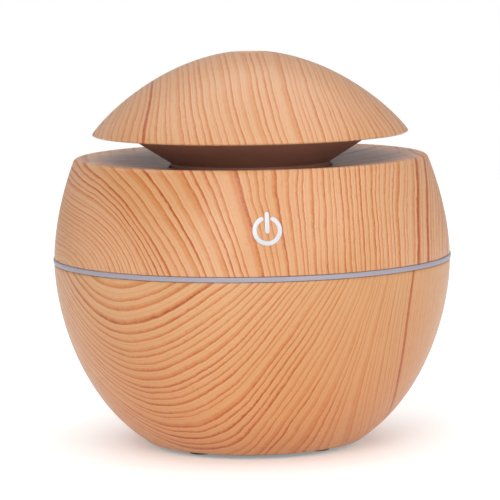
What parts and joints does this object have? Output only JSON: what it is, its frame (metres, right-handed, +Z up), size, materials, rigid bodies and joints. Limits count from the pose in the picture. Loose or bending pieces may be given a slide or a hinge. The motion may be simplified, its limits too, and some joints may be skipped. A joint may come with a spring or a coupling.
{
  "type": "essential oil diffuser",
  "caption": "Egg-shaped wood-grain aroma diffuser: lift-off mushroom cap with a mist hole, sloping dish rim, touch power symbol, glowing mid ring, water tank, fan and ultrasonic disc.",
  "frame": {"origin": "centre of the footprint, on the surface that the feet stand on", "axes": "+Z up along the body's axis; -Y is the front, with the power symbol; +Y is the back, with the power inlet"},
  "size_m": [0.1006, 0.1006, 0.0991],
  "materials": {
    "wood_cap": "satin wood-grain film under a clear coat",
    "wood_upper": "satin wood-grain film under a clear coat",
    "wood_lower": "satin wood-grain film under a clear coat",
    "brown_plastic": "fine matt dark brown",
    "frosted_guide": "frosted translucent light guide",
    "white_plastic": "moulded white polypropylene",
    "grey_plastic": "fine matt grey",
    "black_plastic": "moulded black",
    "silver_inlay": "satin silver plating",
    "silicone": "translucent white silicone",
    "foot_rubber": "matt dark grey rubber",
    "steel": "zinc-plated steel",
    "bright_steel": "polished stainless steel",
    "green_board": "green solder mask on glass-fibre board",
    "white_board": "white solder mask on glass-fibre board",
    "lamp": "white lamp body with a clear resin lens",
    "ceramic": "steel-faced ceramic disc",
    "bronze": "oil-filled sintered bronze",
    "copper": "enamelled copper on a steel core",
    "magnet": "bonded ferrite",
    "ferrite": "ferrite drum with a copper winding",
    "can": "sleeved aluminium can",
    "chip": "black moulded epoxy with tinned legs",
    "connector": "natural nylon",
    "lead": "PVC-covered stranded lead",
    "contact": "tinned brass"
  },
  "bodies": {
    "body": {"upper_shell": "wood_upper", "neck_collar": "white_plastic", "power_symbol": "silver_inlay", "touch_board": "green_board", "touch_spring": "bright_steel", "touch_leads": "lead", "light_ring": "frosted_guide", "led_board": "white_board", "ring_leds": "lamp", "led_leads": "lead", "water_tank": "white_plastic", "tank_gasket": "silicone", "vent_hood": "white_plastic", "tank_screws": "steel", "piezo_disc": "ceramic", "piezo_seal": "silicone", "piezo_retainer": "grey_plastic", "retainer_screws": "steel", "piezo_leads": "lead", "lower_shell": "wood_lower", "base_plate": "grey_plastic", "base_screws": "steel", "rubber_feet": "foot_rubber", "fan_frame": "black_plastic", "fan_bearing": "bronze", "fan_stator": "copper", "fan_screws": "steel", "fan_leads": "lead", "main_board": "green_board", "board_screws": "steel", "dc_socket": "black_plastic", "socket_contact": "contact", "power_inductor": "ferrite", "capacitor": "can", "driver_transistor": "chip", "controller_chip": "chip", "wire_connectors": "connector"},
    "seal": {"neck_seal": "silicone"},
    "cap": {"cap_dome": "wood_cap", "cap_inner_cover": "brown_plastic", "mist_funnel": "white_plastic"},
    "fan_rotor": {"fan_impeller": "black_plastic", "fan_magnet": "magnet", "fan_shaft": "bright_steel"}
  },
  "joints": [
    {"name": "cap_lift", "type": "slide", "parent": "body", "child": "seal", "axis": [0, 0, 1], "range_m": [0, 0.03]},
    {"name": "cap_turn", "type": "hinge", "parent": "seal", "child": "cap", "pos_m": [0, 0, 0.0677], "axis": [0, 0, 1], "continuous": true},
    {"name": "fan_spin", "type": "hinge", "parent": "body", "child": "fan_rotor", "pos_m": [0, 0, 0.0067], "axis": [0, 0, 1], "continuous": true}
  ]
}
